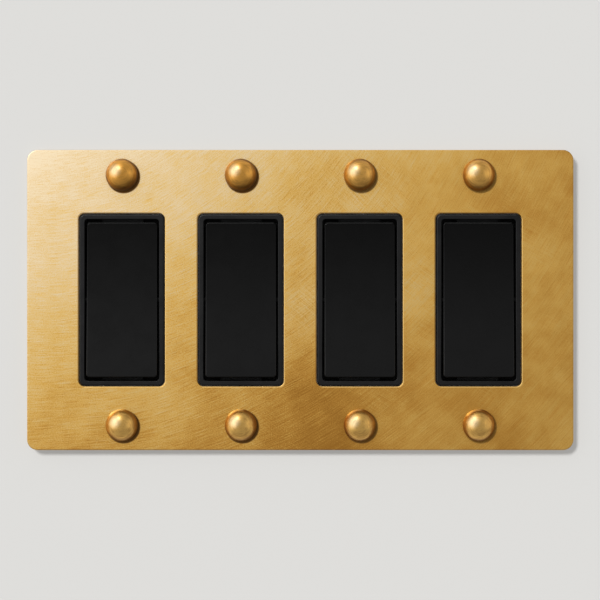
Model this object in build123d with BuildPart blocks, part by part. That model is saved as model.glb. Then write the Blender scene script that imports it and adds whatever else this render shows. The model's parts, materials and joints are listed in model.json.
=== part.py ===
from build123d import *
import os
from math import atan2, cos, degrees, hypot, radians, sin

os.makedirs("parts", exist_ok=True)

# Four-gang rocker light switch, in millimetres.
# +X is right, +Z is up and +Y goes into the wall, so the front faces -Y.
# The origin is the centre of the face plate on the wall plane, y = 0.

# Gangs
gang_count = 4
gang_pitch = 46.04

# Rocker
rocker_width = 27.3
rocker_height = 60.0
rocker_depth = 5.0
rocker_wall = 1.8
rocker_corner = 1.2
rocker_edge = 0.4
rocker_dish = 0.6
rocker_proud = 0.2
rocker_tilt = 3.5  # each way from level; the top is pressed in at rest
rocker_rib = 1.2
rocker_rib_spacing = 18.0
pivot_depth = 2.2  # hinge line behind the level face
trunnion_r = 1.0
trunnion_length = 1.1
running_gap = 0.05

# Drive finger behind the rocker
finger_reach = 14.0  # hinge line to the middle of the round tip
finger_tip_r = 0.9
finger_neck = 1.2
finger_neck_length = 3.2
finger_width = 5.0
finger_root = 5.0

# Bezel round the rocker
bezel_side = 2.0
bezel_end = 1.95
bezel_corner = 2.0
bezel_edge = 0.6
bezel_lip_edge = 0.3
bezel_proud = 0.2
side_gap = 0.75
end_gap = 1.25
socket_end_gap = 0.2
leg_thickness = 1.1
leg_width = 5.0
leg_inset = 0.3
leg_reach = 5.0
leg_spacing = 40.0
barb_height = 0.8
barb_length = 1.8
leg_gap = 0.2

# Face plate
plate_depth = 5.0
plate_wall = 1.8
plate_rim = 4.0
plate_corner = 4.0
plate_edge = 0.35
plate_side_margin = 20.0
opening_gap = 0.3
opening_edge = 0.15
strap_to_rim = 0.9

# Strap
strap_thickness = 1.2
strap_corner = 2.0
strap_window_gap = 0.3
strap_lug_margin = 0.5
neck_width = 20.0
ear_width = 33.0
ear_height = 6.7
ear_slot_spacing = 18.0
ear_slot_length = 4.4
ear_slot_width = 1.2
box_screw_margin = 8.47  # bezel end to box screw: 83.3 between box screws
plate_screw_margin = 6.75  # box screw to plate screw: 96.8 between plate screws
strap_end_margin = 4.78
box_slot_length = 6.6
box_slot_width = 4.2

# Ground tab at the foot of the strap
tab_reach = 4.0
tab_height = 6.4
tab_depth = 9.6
tab_bend = 0.5
tab_screw_depth = 4.8

# Machine screws, 6-32
thread_r = 1.75
thread_gap = 0.05
hole_gap = 0.35
plate_screw_head_r = 6.2
plate_screw_base = 1.6
plate_screw_dome = 4.6
plate_screw_length = 11.0
box_screw_head_r = 3.4
box_screw_head = 1.7
box_screw_length = 19.05
box_screw_neck_r = 1.4
screw_slot_width = 0.9
screw_slot_depth = 0.8
side_screw_head_r = 3.3
side_screw_head = 1.9
side_screw_length = 6.0
screw_point = 0.5

# Fibre retainers that keep the box screws on the strap
retainer_width = 10.0
retainer_height = 6.8
retainer_thickness = 0.4
retainer_gap = 0.1

# Housing
housing_wall = 1.8
housing_back = 2.0
housing_corner = 1.5
housing_edge = 0.8
well_gap = 0.1
well_depth = 9.0
partition = 2.0
chamber_wall = 2.2
tail_gap = 1.7
stop_gap = 0.25
stop_width = 16.0
stop_height = 3.0
lug_width = 24.0
lug_thickness = 3.0
lug_margin = 0.2
panel_width = 20.0
panel_height = 34.0
panel_relief = 0.4
gauge_length = 16.0
gauge_width = 2.4
parting_depth = 10.4
parting_groove = 0.4

# Rivets between strap and housing
rivet_r = 1.2
rivet_head_r = 1.9
rivet_head = 0.7
rivet_gap = 0.05
rivet_spacing = 16.0
rivet_margin = 0.3

# Contact carrier, its pin and its spring
fork_reach = 5.6  # finger tip to carrier pin
fork_gap = 0.1
fork_prong = 1.6
fork_overhang = 1.2
fork_floor = 0.4
fork_width = 6.0
hub_r = 2.8
hub_length = 10.0
carrier_tail = 7.9
arm_top = 0.2
arm_thickness = 1.8
lug_reach = 4.0
lug_breadth = 4.8
post_r = 0.8
post_spacing = 5.0
post_head = 0.3
pin_r = 1.0
pin_socket = 1.5
spring_length = 7.0
spring_r = 2.2
spring_wire = 0.5
spring_turns = 5
spring_end_gap = 0.22
nub_r = 1.3
nub_height = 1.0

# Contacts and terminals
bridge_width = 3.6
bridge_thickness = 1.0
bridge_reach = 5.8
bridge_side_gap = 1.5
contact_inset = 2.5
contact_r = 1.6
contact_base = 0.4
contact_dome = 0.4
contact_gap = 0.03
fixed_contact_thickness = 0.8
terminal_thickness = 0.8
terminal_arm_width = 4.4
terminal_arm_overlap = 2.5
terminal_margin = 4.5
terminal_screw_depth = 18.0
terminal_screw_drop = 3.0
terminal_slit_gap = 0.15
pocket_depth = 3.8
pocket_gap = 0.9

# Worked-out widths and heights
window_width = rocker_width + 2 * side_gap
window_height = rocker_height + 2 * end_gap
bezel_width = window_width + 2 * bezel_side
bezel_height = window_height + 2 * bezel_end
opening_width = bezel_width + 2 * opening_gap
opening_height = bezel_height + 2 * opening_gap
leg_outer = bezel_width / 2 - leg_inset
well_width = 2 * (leg_outer + well_gap)
well_height = window_height + 2 * well_gap
housing_width = well_width + 2 * housing_wall
housing_height = well_height + 2 * housing_wall
rivet_z = bezel_height / 2 + rivet_head_r + rivet_margin
lug_end = rivet_z + rivet_head_r + lug_margin
strap_body_height = 2 * (lug_end + strap_lug_margin)
box_screw_z = bezel_height / 2 + box_screw_margin
plate_screw_z = box_screw_z + plate_screw_margin
strap_end = plate_screw_z + strap_end_margin
plate_height = 2 * (strap_end + strap_to_rim + plate_rim)
plate_width = (gang_count - 1) * gang_pitch + opening_width + 2 * plate_side_margin

# Worked-out depths
bezel_front = -(plate_depth + bezel_proud)
rocker_face = bezel_front - rocker_proud
rocker_back = rocker_face + rocker_depth
pivot_y = rocker_face + pivot_depth
finger_tip_y = pivot_y + finger_reach
carrier_y = finger_tip_y + fork_reach
housing_depth = carrier_y + carrier_tail + tail_gap + housing_back
chamber_floor = housing_depth - housing_back
carrier_tilt = rocker_tilt * finger_reach / fork_reach

# Worked-out mechanism sizes
chamber_height = 2 * (lug_reach + spring_length)
pocket_floor = housing_width / 2 - pocket_depth
chamber_width = 2 * (pocket_floor - chamber_wall)
bridge_length = chamber_width - 2 * bridge_side_gap
contact_spacing = bridge_length - 2 * contact_inset
core_edge = chamber_height / 2 + partition
contact_top = arm_top + bridge_thickness + contact_base + contact_dome
contact_sphere = (contact_r**2 + contact_dome**2) / (2 * contact_dome)


def turned(y, z, angle):
    """A point given from a hinge line, turned about that line."""
    turn = radians(angle)
    return y * cos(turn) - z * sin(turn), y * sin(turn) + z * cos(turn)


# Where the closed contacts meet
sphere_y, sphere_z = turned(bridge_reach, contact_top - contact_sphere, carrier_tilt)
contact_y = carrier_y + sphere_y
fixed_contact_z = sphere_z + contact_sphere + contact_gap
terminal_arm_z = fixed_contact_z + fixed_contact_thickness
terminal_top = terminal_arm_z + terminal_thickness
terminal_screw_z = -(core_edge + terminal_screw_drop)
terminal_low = terminal_screw_z - terminal_margin
terminal_front = terminal_screw_depth - terminal_margin
terminal_rear = contact_y + terminal_arm_width / 2
terminal_face = pocket_floor + terminal_thickness

gang_x = [gang_pitch * (gang - (gang_count - 1) / 2) for gang in range(gang_count)]


def facing(y):
    """Plane at depth y seen from the front: sketch x is X and sketch y is Z."""
    return Plane.XZ.offset(-y)


def save(name, piece):
    piece.label = name
    export_step(piece, f"parts/{name}.step")


def save_per_gang(name, device_piece):
    """Write one copy of a device piece on each gang's centre line."""
    for number, x in enumerate(gang_x, start=1):
        with BuildPart() as copy:
            with Locations((x, 0, 0)):
                add(device_piece)
        save(f"{name}_{number}", copy.part)


# Face plate: cast brass, hollow behind, with a rim that meets the wall
with BuildPart() as face_plate:
    with BuildSketch(facing(-plate_depth)):
        RectangleRounded(plate_width, plate_height, plate_corner)
    extrude(amount=-plate_depth)
    fillet(face_plate.faces().sort_by(Axis.Y)[0].edges(), plate_edge)
    with BuildSketch(facing(0)):
        RectangleRounded(
            plate_width - 2 * plate_rim,
            plate_height - 2 * plate_rim,
            plate_corner / 2,
        )
    extrude(amount=plate_depth - plate_wall, mode=Mode.SUBTRACT)
    with BuildSketch(facing(-plate_depth)):
        with GridLocations(gang_pitch, 0, gang_count, 1):
            RectangleRounded(opening_width, opening_height, bezel_corner + opening_gap)
    extrude(amount=-plate_depth, mode=Mode.SUBTRACT)
    fillet(face_plate.faces().sort_by(Axis.Y)[0].inner_wires().edges(), opening_edge)
    with BuildSketch(facing(-plate_depth)):
        with GridLocations(gang_pitch, 2 * plate_screw_z, gang_count, 2):
            Circle(thread_r + hole_gap)
    extrude(amount=-plate_depth, mode=Mode.SUBTRACT)
save("face_plate", face_plate.part)

# Plate screws: plain brass domes on a machine screw
dome_sphere = (plate_screw_head_r**2 + plate_screw_dome**2) / (2 * plate_screw_dome)
dome_foot = -plate_depth - plate_screw_base
dome_centre = dome_foot - plate_screw_dome + dome_sphere
dome_half_turn = atan2(plate_screw_head_r, dome_centre - dome_foot) / 2
plate_screw_tip = plate_screw_length - plate_depth
with BuildPart() as plate_screw:
    with BuildSketch(Plane.XY):
        with BuildLine():
            ThreePointArc(
                (plate_screw_head_r, dome_foot),
                (dome_sphere * sin(dome_half_turn), dome_centre - dome_sphere * cos(dome_half_turn)),
                (0, dome_centre - dome_sphere),
            )
            Polyline(
                (0, dome_centre - dome_sphere),
                (0, plate_screw_tip),
                (thread_r - screw_point, plate_screw_tip),
                (thread_r, plate_screw_tip - screw_point),
                (thread_r, -plate_depth),
                (plate_screw_head_r, -plate_depth),
                (plate_screw_head_r, dome_foot),
            )
        make_face()
    revolve(axis=Axis.Y)
with BuildPart() as plate_screws:
    with Locations(*[(x, 0, z) for x in gang_x for z in (-plate_screw_z, plate_screw_z)]):
        add(plate_screw.part)
save("plate_screws", plate_screws.part)

# Rocker: a shallow moulded shell, dished in front, on two trunnions, with ribs and a drive finger
finger_foot = rocker_face + (rocker_dish + rocker_wall) / 2
with BuildPart() as rocker:
    with BuildSketch(Plane.YZ):
        with BuildLine():
            ThreePointArc(
                (rocker_face, -rocker_height / 2),
                (rocker_face + rocker_dish, 0),
                (rocker_face, rocker_height / 2),
            )
            Polyline(
                (rocker_face, rocker_height / 2),
                (rocker_back, rocker_height / 2),
                (rocker_back, -rocker_height / 2),
                (rocker_face, -rocker_height / 2),
            )
        make_face()
    extrude(amount=rocker_width / 2, both=True)
    fillet(rocker.edges().filter_by(Axis.Y), rocker_corner)
    fillet(rocker.faces().sort_by(Axis.Y)[0].edges(), rocker_edge)
    with BuildSketch(facing(rocker_back)):
        RectangleRounded(
            rocker_width - 2 * rocker_wall,
            rocker_height - 2 * rocker_wall,
            rocker_corner / 2,
        )
    extrude(amount=rocker_depth - rocker_wall, mode=Mode.SUBTRACT)
    with BuildSketch(facing(rocker_back)):
        with GridLocations(rocker_rib_spacing, 0, 2, 1):
            Rectangle(rocker_rib, rocker_height - rocker_wall)
        with GridLocations(0, rocker_height / 2, 1, 2):
            Rectangle(rocker_width - rocker_wall, rocker_rib)
    extrude(amount=rocker_depth - rocker_wall)
    with BuildSketch(Plane.YZ):
        with Locations((pivot_y, 0)):
            Circle(trunnion_r)
    extrude(amount=window_width / 2 + trunnion_length, both=True)
    with BuildSketch(Plane.YZ):
        with BuildLine():
            Polyline(
                (finger_foot, -finger_root / 2),
                (finger_tip_y - finger_neck_length, -finger_neck / 2),
                (finger_tip_y, -finger_neck / 2),
                (finger_tip_y, finger_neck / 2),
                (finger_tip_y - finger_neck_length, finger_neck / 2),
                (finger_foot, finger_root / 2),
                close=True,
            )
        make_face()
        with Locations((finger_tip_y, 0)):
            Circle(finger_tip_r)
    extrude(amount=finger_width / 2, both=True)
hinge_line = Axis((0, pivot_y, 0), (1, 0, 0))
save_per_gang("rocker", rocker.part.rotate(hinge_line, -rocker_tilt))

# Bezel: moulded frame on the strap, with trunnion sockets and four snap legs
leg_places = [(side, z) for side in (-1, 1) for z in (-leg_spacing / 2, leg_spacing / 2)]
with BuildPart() as bezel:
    with BuildSketch(facing(-strap_thickness)):
        RectangleRounded(bezel_width, bezel_height, bezel_corner)
        RectangleRounded(window_width, window_height, rocker_corner, mode=Mode.SUBTRACT)
    extrude(amount=-bezel_front - strap_thickness)
    fillet(bezel.faces().sort_by(Axis.Y)[0].outer_wire().edges(), bezel_edge)
    fillet(bezel.faces().sort_by(Axis.Y)[0].inner_wires().edges(), bezel_lip_edge)
    with BuildSketch(Plane.YZ):
        with Locations((pivot_y, 0)):
            Circle(trunnion_r + running_gap)
    extrude(
        amount=window_width / 2 + trunnion_length + socket_end_gap,
        both=True,
        mode=Mode.SUBTRACT,
    )
    for side, z in leg_places:
        with BuildSketch(Plane.XY.offset(z)):
            with BuildLine():
                Polyline(
                    (side * (leg_outer - leg_thickness), -strap_thickness),
                    (side * leg_outer, -strap_thickness),
                    (side * leg_outer, leg_reach - barb_length),
                    (side * (leg_outer + barb_height), leg_reach - barb_length),
                    (side * leg_outer, leg_reach),
                    (side * (leg_outer - leg_thickness), leg_reach),
                    close=True,
                )
            make_face()
        extrude(amount=leg_width / 2, both=True)
save_per_gang("bezel", bezel.part)

# Strap: stamped steel with plaster ears, box-screw slots and a bent ground tab
tab_x = -(neck_width / 2 + tab_reach)
with BuildPart() as strap:
    with BuildSketch(facing(0)):
        RectangleRounded(housing_width, strap_body_height, strap_corner)
        Rectangle(neck_width, 2 * strap_end - ear_height)
        with GridLocations(0, 2 * strap_end - ear_height, 1, 2):
            RectangleRounded(ear_width, ear_height, strap_corner)
        RectangleRounded(
            window_width + 2 * strap_window_gap,
            window_height + 2 * strap_window_gap,
            rocker_corner,
            mode=Mode.SUBTRACT,
        )
        with GridLocations(2 * leg_outer - leg_thickness, leg_spacing, 2, 2):
            Rectangle(leg_thickness + 2 * leg_gap, leg_width + 2 * leg_gap, mode=Mode.SUBTRACT)
        with GridLocations(0, 2 * box_screw_z, 1, 2):
            SlotOverall(box_slot_length, box_slot_width, mode=Mode.SUBTRACT)
        with GridLocations(0, 2 * plate_screw_z, 1, 2):
            Circle(thread_r + thread_gap, mode=Mode.SUBTRACT)
        with GridLocations(ear_slot_spacing, 2 * strap_end - ear_height, 2, 2):
            SlotOverall(ear_slot_length, ear_slot_width, rotation=90, mode=Mode.SUBTRACT)
        with GridLocations(rivet_spacing, 2 * rivet_z, 2, 2):
            Circle(rivet_r + rivet_gap, mode=Mode.SUBTRACT)
    extrude(amount=strap_thickness)
    with BuildSketch(Plane.XY.offset(-box_screw_z)):
        with BuildLine():
            FilletPolyline(
                (-neck_width / 2, -strap_thickness),
                (tab_x, -strap_thickness),
                (tab_x, tab_depth),
                radius=tab_bend + strap_thickness,
            )
            Line((tab_x, tab_depth), (tab_x + strap_thickness, tab_depth))
            FilletPolyline(
                (tab_x + strap_thickness, tab_depth),
                (tab_x + strap_thickness, 0),
                (-neck_width / 2, 0),
                radius=tab_bend,
            )
            Line((-neck_width / 2, 0), (-neck_width / 2, -strap_thickness))
        make_face()
    extrude(amount=tab_height / 2, both=True)
    with BuildSketch(Plane.YZ.offset(tab_x)):
        with Locations((tab_screw_depth, -box_screw_z)):
            Circle(thread_r + thread_gap)
    extrude(amount=strap_thickness, mode=Mode.SUBTRACT)
save_per_gang("strap", strap.part)

# Housing: moulded box with a well for the rocker and a chamber for the mechanism,
# a groove where its two mouldings meet, a back panel and a wire-strip gauge
rocker_dip = turned(rocker_depth - pivot_depth, rocker_height / 2, -rocker_tilt)[0]
stop_y = pivot_y + rocker_dip + stop_gap
pin_half_length = chamber_width / 2 + pin_socket
pocket_front = terminal_front - pocket_gap
pocket_rear = terminal_rear + pocket_gap
pocket_low = terminal_low - pocket_gap
pocket_high = terminal_top + pocket_gap
with BuildPart() as housing:
    with BuildSketch(facing(0)):
        RectangleRounded(housing_width, housing_height, housing_corner)
    extrude(amount=-housing_depth)
    fillet(housing.faces().sort_by(Axis.Y)[-1].edges(), housing_edge)
    with BuildSketch(facing(housing_depth)):
        RectangleRounded(panel_width, panel_height, housing_corner)
    extrude(amount=panel_relief, mode=Mode.SUBTRACT)
    with BuildSketch(facing(housing_depth)):
        with Locations((0, (panel_height / 2 + housing_height / 2) / 2)):
            SlotOverall(gauge_length, gauge_width)
    extrude(amount=panel_relief, mode=Mode.SUBTRACT)
    with BuildSketch(facing(parting_depth)):
        RectangleRounded(housing_width, housing_height, housing_corner)
        RectangleRounded(
            housing_width - 2 * parting_groove,
            housing_height - 2 * parting_groove,
            housing_corner - parting_groove,
            mode=Mode.SUBTRACT,
        )
    extrude(amount=-parting_groove, mode=Mode.SUBTRACT)
    with BuildSketch(facing(0)):
        Rectangle(lug_width, 2 * lug_end)
        Rectangle(lug_width, housing_height, mode=Mode.SUBTRACT)
        with GridLocations(rivet_spacing, 2 * rivet_z, 2, 2):
            Circle(rivet_r + rivet_gap, mode=Mode.SUBTRACT)
    extrude(amount=-lug_thickness)
    with BuildSketch(facing(0)):
        Rectangle(well_width, well_height)
        with GridLocations(0, well_height - stop_height, 1, 2):
            Rectangle(stop_width, stop_height, mode=Mode.SUBTRACT)
    extrude(amount=-well_depth, mode=Mode.SUBTRACT)
    with BuildSketch(facing(0)):
        with GridLocations(0, well_height - stop_height, 1, 2):
            Rectangle(stop_width, stop_height)
    extrude(amount=-stop_y, mode=Mode.SUBTRACT)
    core_height = well_height / 2 - stop_height - core_edge
    with BuildSketch(facing(0)):
        Rectangle(chamber_width, chamber_height)
        with Locations((0, core_edge + core_height / 2)):
            Rectangle(well_width, core_height)
        with Locations((0, -core_edge - core_height / 2)):
            Rectangle(chamber_width, core_height)
    extrude(amount=-chamber_floor, mode=Mode.SUBTRACT)
    for side in (-1, 1):
        with BuildSketch(Plane.YZ.offset(side * pocket_floor)):
            with Locations(((pocket_front + pocket_rear) / 2, (pocket_low + pocket_high) / 2)):
                Rectangle(pocket_rear - pocket_front, pocket_high - pocket_low)
        extrude(amount=side * housing_width / 2, mode=Mode.SUBTRACT)
        with BuildSketch(Plane.YZ.offset(side * pocket_floor)):
            with Locations((contact_y, (fixed_contact_z + terminal_top) / 2)):
                Rectangle(
                    terminal_arm_width + 2 * terminal_slit_gap,
                    terminal_top - fixed_contact_z + 2 * terminal_slit_gap,
                )
            with Locations((terminal_screw_depth, terminal_screw_z)):
                Circle(thread_r + hole_gap)
        extrude(amount=-side * chamber_wall, mode=Mode.SUBTRACT)
    with BuildSketch(Plane.YZ):
        with Locations((carrier_y, 0)):
            Circle(pin_r + running_gap)
        with Locations(((well_depth + carrier_y) / 2, 0)):
            Rectangle(carrier_y - well_depth, 2 * (pin_r + running_gap))
    extrude(amount=pin_half_length + running_gap, both=True, mode=Mode.SUBTRACT)
    with BuildSketch(Plane.YZ):
        with GridLocations(0, leg_spacing, 1, 2):
            with Locations((leg_reach - barb_length / 2, 0)):
                Rectangle(barb_length + 2 * leg_gap, leg_width + 2 * leg_gap)
    extrude(amount=housing_width / 2, both=True, mode=Mode.SUBTRACT)
    with BuildSketch(Plane.XY.offset(-chamber_height / 2)):
        with Locations((0, carrier_y)):
            Circle(nub_r)
    extrude(amount=nub_height)
save_per_gang("housing", housing.part)

# Carrier pin: steel rod dropped into the chamber's side walls
with BuildPart() as carrier_pin:
    with BuildSketch(Plane.YZ):
        with Locations((carrier_y, 0)):
            Circle(pin_r)
    extrude(amount=pin_half_length, both=True)
save_per_gang("carrier_pin", carrier_pin.part)

# Contact carrier: fork in front of the pin, contact arm behind it, spring lug below
fork_front = carrier_y - fork_reach - fork_overhang
fork_half = finger_tip_r + fork_gap
fork_back = carrier_y - fork_reach + finger_tip_r + fork_floor
bridge_y = carrier_y + bridge_reach
with BuildPart() as contact_carrier:
    with BuildSketch(Plane.YZ):
        with Locations((carrier_y, 0)):
            Circle(hub_r)
        with Locations((carrier_y + carrier_tail / 2, arm_top - arm_thickness / 2)):
            Rectangle(carrier_tail, arm_thickness)
    extrude(amount=hub_length / 2, both=True)
    with BuildSketch(Plane.YZ):
        with Locations(((fork_front + carrier_y) / 2, 0)):
            Rectangle(carrier_y - fork_front, 2 * (fork_half + fork_prong))
    extrude(amount=fork_width / 2, both=True)
    with BuildSketch(Plane.YZ):
        with Locations(((fork_front + fork_back) / 2, 0)):
            Rectangle(fork_back - fork_front, 2 * fork_half)
    extrude(amount=fork_width / 2, both=True, mode=Mode.SUBTRACT)
    with BuildSketch(Plane.XY):
        with Locations((0, carrier_y)):
            Rectangle(lug_breadth, lug_breadth)
    extrude(amount=-lug_reach)
    with BuildSketch(Plane.XY.offset(-lug_reach)):
        with Locations((0, carrier_y)):
            Circle(nub_r)
    extrude(amount=-nub_height)
    with BuildSketch(Plane.XY.offset(arm_top)):
        with Locations((0, bridge_y)):
            with GridLocations(post_spacing, 0, 2, 1):
                Circle(post_r)
    extrude(amount=bridge_thickness + post_head)
    with BuildSketch(Plane.YZ):
        with Locations((carrier_y, 0)):
            Circle(pin_r + running_gap)
    extrude(amount=hub_length / 2, both=True, mode=Mode.SUBTRACT)
pin_line = Axis((0, carrier_y, 0), (1, 0, 0))
save_per_gang("contact_carrier", contact_carrier.part.rotate(pin_line, carrier_tilt))

# Contact bridge: brass bar staked on the carrier's arm
with BuildPart() as contact_bridge:
    with BuildSketch(Plane.XY.offset(arm_top)):
        with Locations((0, bridge_y)):
            RectangleRounded(bridge_length, bridge_width, contact_base)
            with GridLocations(post_spacing, 0, 2, 1):
                Circle(post_r + running_gap, mode=Mode.SUBTRACT)
    extrude(amount=bridge_thickness)
save_per_gang("contact_bridge", contact_bridge.part.rotate(pin_line, carrier_tilt))

# Moving contacts: silver domes at the two ends of the bridge
contact_foot = arm_top + bridge_thickness
contact_half_turn = atan2(contact_r, contact_sphere - contact_dome) / 2
with BuildPart() as moving_contact:
    with BuildSketch(Plane.XZ):
        with BuildLine():
            ThreePointArc(
                (contact_r, contact_foot + contact_base),
                (
                    contact_sphere * sin(contact_half_turn),
                    contact_top - contact_sphere * (1 - cos(contact_half_turn)),
                ),
                (0, contact_top),
            )
            Polyline(
                (0, contact_top),
                (0, contact_foot),
                (contact_r, contact_foot),
                (contact_r, contact_foot + contact_base),
            )
        make_face()
    revolve(axis=Axis.Z)
with BuildPart() as moving_contacts:
    with Locations((-contact_spacing / 2, bridge_y, 0), (contact_spacing / 2, bridge_y, 0)):
        add(moving_contact.part)
save_per_gang("moving_contacts", moving_contacts.part.rotate(pin_line, carrier_tilt))

# Fixed contacts: silver discs under the terminal arms
with BuildPart() as fixed_contacts:
    with BuildSketch(Plane.XY.offset(fixed_contact_z)):
        for x in gang_x:
            with Locations((x, contact_y)):
                with GridLocations(contact_spacing, 0, 2, 1):
                    Circle(contact_r)
    extrude(amount=fixed_contact_thickness)
save("fixed_contacts", fixed_contacts.part)

# Terminals: folded brass, a side plate outside and a contact arm inside
arm_inner = contact_spacing / 2 - terminal_arm_overlap
for side, name in ((-1, "line_terminal"), (1, "load_terminal")):
    with BuildPart() as terminal:
        with BuildSketch(Plane.YZ.offset(side * pocket_floor)):
            with Locations(
                ((terminal_front + terminal_rear) / 2, (terminal_low + terminal_top) / 2)
            ):
                Rectangle(terminal_rear - terminal_front, terminal_top - terminal_low)
            with Locations((terminal_screw_depth, terminal_screw_z)):
                Circle(thread_r + thread_gap, mode=Mode.SUBTRACT)
        extrude(amount=side * terminal_thickness)
        with BuildSketch(Plane.XY.offset(terminal_arm_z)):
            with Locations((side * (arm_inner + terminal_face) / 2, contact_y)):
                Rectangle(terminal_face - arm_inner, terminal_arm_width)
        extrude(amount=terminal_thickness)
    save_per_gang(name, terminal.part)

# Toggle spring: coil between the chamber's floor nub and the carrier's lug
seat_y, seat_z = turned(0, -lug_reach, carrier_tilt)
spring_rise = seat_z + chamber_height / 2
spring_span = hypot(seat_y, spring_rise)
spring_lift = spring_end_gap + spring_wire / 2
spring_height = spring_span - 2 * spring_lift
spring_way = Vector(0, seat_y, spring_rise).normalized()
spring_foot = Vector(0, carrier_y, -chamber_height / 2) + spring_way * spring_lift
with BuildPart() as toggle_spring:
    with BuildLine():
        coil = Helix(
            spring_height / spring_turns,
            spring_height,
            spring_r - spring_wire / 2,
            center=spring_foot,
            direction=spring_way,
        )
    with BuildSketch(Plane(origin=coil @ 0, z_dir=coil % 0)):
        Circle(spring_wire / 2)
    sweep(path=coil, is_frenet=True)
save_per_gang("toggle_spring", toggle_spring.part)


def slotted_screw(head_r, head, profile_tail):
    """Flat-headed screw on the Z axis, head up from z = 0, with a driver slot across it."""
    with BuildPart() as screw:
        with BuildSketch(Plane.XZ):
            with BuildLine():
                Polyline((0, head), (head_r, head), (head_r, 0), *profile_tail, close=True)
            make_face()
        revolve(axis=Axis.Z)
        fillet(screw.faces().sort_by(Axis.Z)[-1].edges(), head / 2)
        with BuildSketch(Plane.XY.offset(head)):
            Rectangle(2 * head_r, screw_slot_width)
        extrude(amount=-screw_slot_depth, mode=Mode.SUBTRACT)
    return screw.part


# Box screws: seated on the strap, necked where the retainers hold them
neck_end = strap_thickness + retainer_thickness + thread_gap
box_screw = slotted_screw(
    box_screw_head_r,
    box_screw_head,
    [
        (box_screw_neck_r, 0),
        (box_screw_neck_r, -neck_end),
        (thread_r, -neck_end),
        (thread_r, screw_point - box_screw_length),
        (thread_r - screw_point, -box_screw_length),
        (0, -box_screw_length),
    ],
)
with BuildPart() as mounting_screws:
    for x in gang_x:
        for z in (-box_screw_z, box_screw_z):
            with Locations(Plane((x, -strap_thickness, z), x_dir=(1, 0, 0), z_dir=(0, -1, 0))):
                add(box_screw)
save("mounting_screws", mounting_screws.part)

# Retainers: fibre squares behind the strap
with BuildPart() as screw_retainers:
    with BuildSketch(facing(0)):
        with GridLocations(gang_pitch, 2 * box_screw_z, gang_count, 2):
            Rectangle(retainer_width, retainer_height)
            Circle(box_screw_neck_r + retainer_gap, mode=Mode.SUBTRACT)
    extrude(amount=-retainer_thickness)
save("screw_retainers", screw_retainers.part)

# Binding screws for the wires: two brass ones and a green ground one on each gang
side_screw = slotted_screw(
    side_screw_head_r,
    side_screw_head,
    [
        (thread_r, 0),
        (thread_r, screw_point - side_screw_length),
        (thread_r - screw_point, -side_screw_length),
        (0, -side_screw_length),
    ],
)
with BuildPart() as terminal_screws:
    for x in gang_x:
        for side in (-1, 1):
            seat = (x + side * terminal_face, terminal_screw_depth, terminal_screw_z)
            with Locations(Plane(seat, x_dir=(0, 0, 1), z_dir=(side, 0, 0))):
                add(side_screw)
save("terminal_screws", terminal_screws.part)
with BuildPart() as ground_screws:
    for x in gang_x:
        seat = (x + tab_x, tab_screw_depth, -box_screw_z)
        with Locations(Plane(seat, x_dir=(0, 0, 1), z_dir=(-1, 0, 0))):
            add(side_screw)
save("ground_screws", ground_screws.part)

# Rivets: headed both sides, through the strap and the housing's end lugs
with BuildPart() as rivet:
    with BuildSketch(Plane.XY):
        with BuildLine():
            Polyline(
                (0, -strap_thickness - rivet_head),
                (rivet_head_r, -strap_thickness - rivet_head),
                (rivet_head_r, -strap_thickness),
                (rivet_r, -strap_thickness),
                (rivet_r, lug_thickness),
                (rivet_head_r, lug_thickness),
                (rivet_head_r, lug_thickness + rivet_head),
                (0, lug_thickness + rivet_head),
                close=True,
            )
        make_face()
    revolve(axis=Axis.Y)
    ends = rivet.faces().sort_by(Axis.Y)
    fillet(ends[0].edges() + ends[-1].edges(), rivet_head / 2)
with BuildPart() as housing_rivets:
    for x in gang_x:
        with Locations(
            *[
                (x + side * rivet_spacing / 2, 0, z)
                for side in (-1, 1)
                for z in (-rivet_z, rivet_z)
            ]
        ):
            add(rivet.part)
save("housing_rivets", housing_rivets.part)
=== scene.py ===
import json
import math

import bpy
import numpy as np
from mathutils import Matrix, Quaternion, Vector


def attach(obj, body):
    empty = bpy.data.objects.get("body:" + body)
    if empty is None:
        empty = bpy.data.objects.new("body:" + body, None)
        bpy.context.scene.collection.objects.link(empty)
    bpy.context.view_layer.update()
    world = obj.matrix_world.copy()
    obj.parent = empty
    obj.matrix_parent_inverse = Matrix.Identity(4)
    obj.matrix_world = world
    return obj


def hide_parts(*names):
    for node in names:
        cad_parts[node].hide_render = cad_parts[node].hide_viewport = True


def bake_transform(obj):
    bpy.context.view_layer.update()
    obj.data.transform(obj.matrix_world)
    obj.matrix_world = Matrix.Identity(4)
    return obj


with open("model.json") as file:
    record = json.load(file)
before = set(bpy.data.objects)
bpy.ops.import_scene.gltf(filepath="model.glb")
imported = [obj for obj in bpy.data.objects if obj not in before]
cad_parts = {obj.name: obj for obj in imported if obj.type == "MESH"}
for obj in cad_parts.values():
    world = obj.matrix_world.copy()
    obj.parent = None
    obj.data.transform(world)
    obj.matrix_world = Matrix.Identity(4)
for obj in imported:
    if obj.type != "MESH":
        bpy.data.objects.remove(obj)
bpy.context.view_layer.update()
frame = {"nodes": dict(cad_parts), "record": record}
nodes = frame["nodes"]
slot_of = {part["node"]: part["material_slot"] for part in frame["record"]["subparts"]}
scene = bpy.context.scene

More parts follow.
